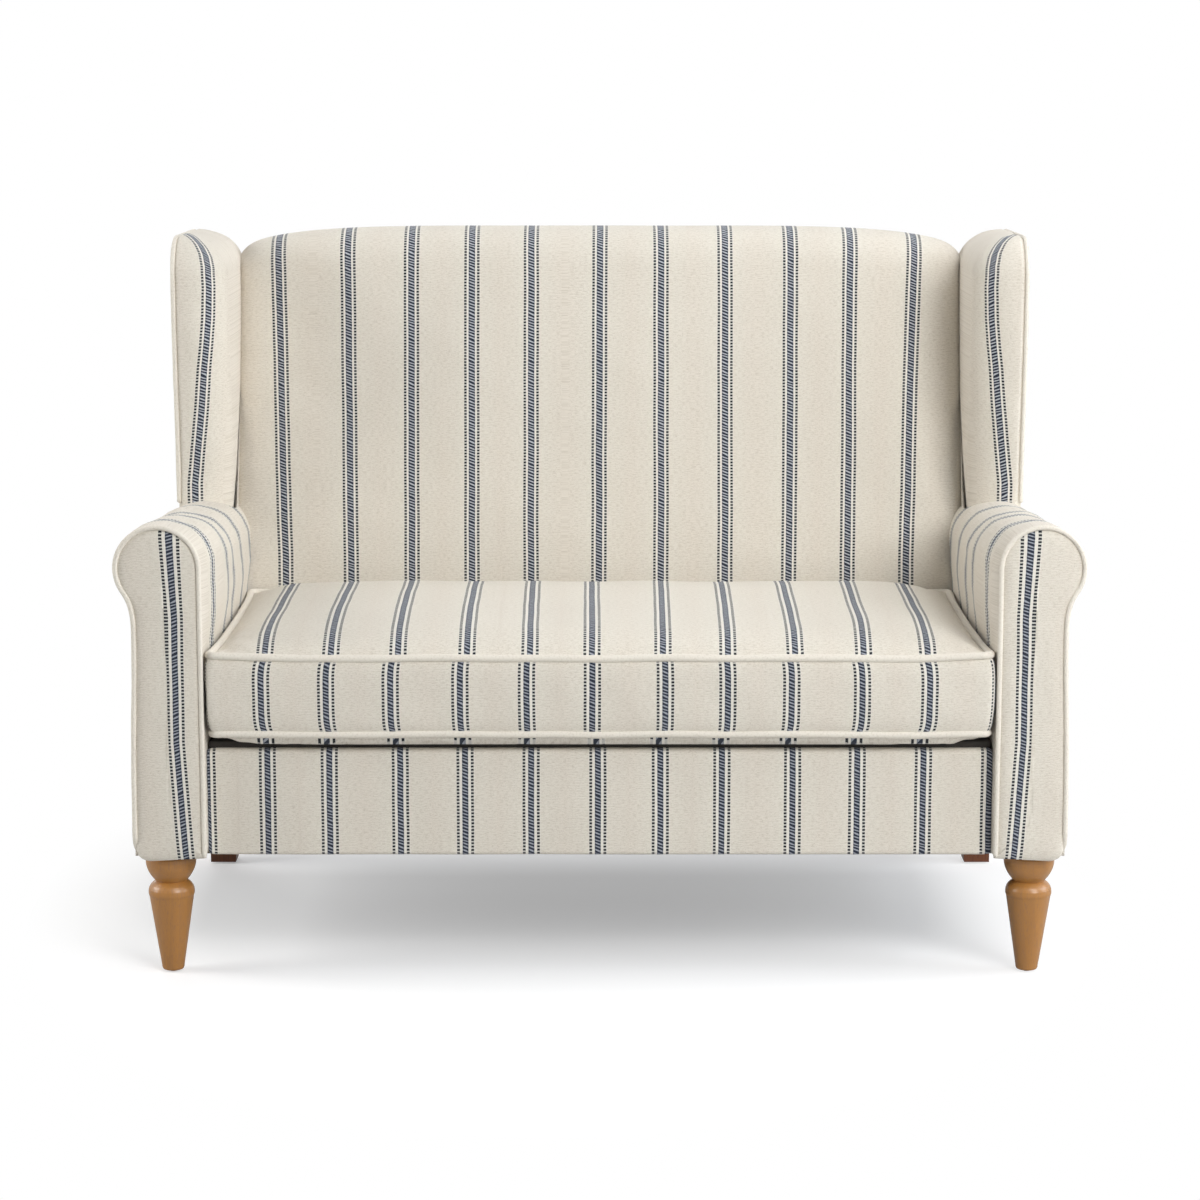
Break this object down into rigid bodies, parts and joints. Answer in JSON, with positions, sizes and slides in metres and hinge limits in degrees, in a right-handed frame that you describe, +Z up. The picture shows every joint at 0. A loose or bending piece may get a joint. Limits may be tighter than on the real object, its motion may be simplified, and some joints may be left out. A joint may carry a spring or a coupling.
{
  "type": "settee",
  "caption": "High back two-seat settee with scroll arms, enclosing wings, a loose piped seat cushion on a zigzag sprung timber frame and turned front legs.",
  "frame": {"origin": "centre of the box that encloses the whole settee, at floor level", "axes": "X along the width, Y toward the rear so that the front faces -Y, Z up"},
  "size_m": [1.3736, 0.82, 1.045],
  "materials": {
    "timber": "planed beech, unfinished",
    "light_wood": "satin clear lacquer",
    "dark_wood": "satin stained",
    "spring_steel": "oil hardened wire",
    "plated_steel": "zinc plated",
    "glide_steel": "nickel plated",
    "insert_brass": "turned",
    "felt": "needled fibre",
    "deck_cloth": "plain woven lining",
    "webbing": "woven jute",
    "stripe_cover": "ribbed weave with navy stripes",
    "plain_welt": "plain weave over cord",
    "dust_cloth": "spunbond",
    "foam": "open cell foam in fibre wrap",
    "zip_nylon": "moulded coil on woven tape",
    "zip_metal": "enamelled"
  },
  "bodies": {
    "root": {"front_rail": "timber", "rear_rail": "timber", "side_rail_left": "timber", "side_rail_right": "timber", "middle_rail": "timber", "corner_blocks": "timber", "arm_post_left": "timber", "arm_post_right": "timber", "arm_rail_left": "timber", "arm_rail_right": "timber", "arm_tack_rail_left": "timber", "arm_tack_rail_right": "timber", "scroll_board_left": "timber", "scroll_board_right": "timber", "back_post_left": "timber", "back_post_right": "timber", "crest_rail": "timber", "back_tack_rail": "timber", "back_stiles": "timber", "wing_board_left": "timber", "wing_board_right": "timber", "seat_springs": "spring_steel", "spring_clips": "plated_steel", "tie_wires": "spring_steel", "seat_felt": "felt", "edge_roll": "felt", "seat_deck": "deck_cloth", "back_webbing": "webbing", "front_border": "stripe_cover", "inside_back": "stripe_cover", "outside_back": "stripe_cover", "inside_arm_left": "stripe_cover", "inside_arm_right": "stripe_cover", "outside_arm_left": "stripe_cover", "outside_arm_right": "stripe_cover", "arm_facing_left": "stripe_cover", "arm_facing_right": "stripe_cover", "facing_welt_left": "plain_welt", "facing_welt_right": "plain_welt", "wing_left": "stripe_cover", "wing_right": "stripe_cover", "wing_welt_left": "plain_welt", "wing_welt_right": "plain_welt", "dust_cover": "dust_cloth", "front_leg_left": "light_wood", "front_leg_right": "light_wood", "rear_leg_left": "dark_wood", "rear_leg_right": "dark_wood", "leg_bolts": "plated_steel", "leg_inserts": "insert_brass", "glides": "glide_steel"},
    "seat_cushion": {"cushion_core": "foam", "cushion_top": "stripe_cover", "cushion_bottom": "stripe_cover", "cushion_border": "stripe_cover", "cushion_welt_top": "plain_welt", "cushion_welt_bottom": "plain_welt", "cushion_zip": "zip_nylon"},
    "zip_pull": {"zip_slider": "zip_metal"}
  },
  "joints": [
    {"name": "cushion_lift", "type": "slide", "parent": "root", "child": "seat_cushion", "axis": [0, 0, 1], "range_m": [0, 0.75]},
    {"name": "zip_slide", "type": "slide", "parent": "seat_cushion", "child": "zip_pull", "axis": [1, 0, 0], "range_m": [-0.95, 0]}
  ]
}
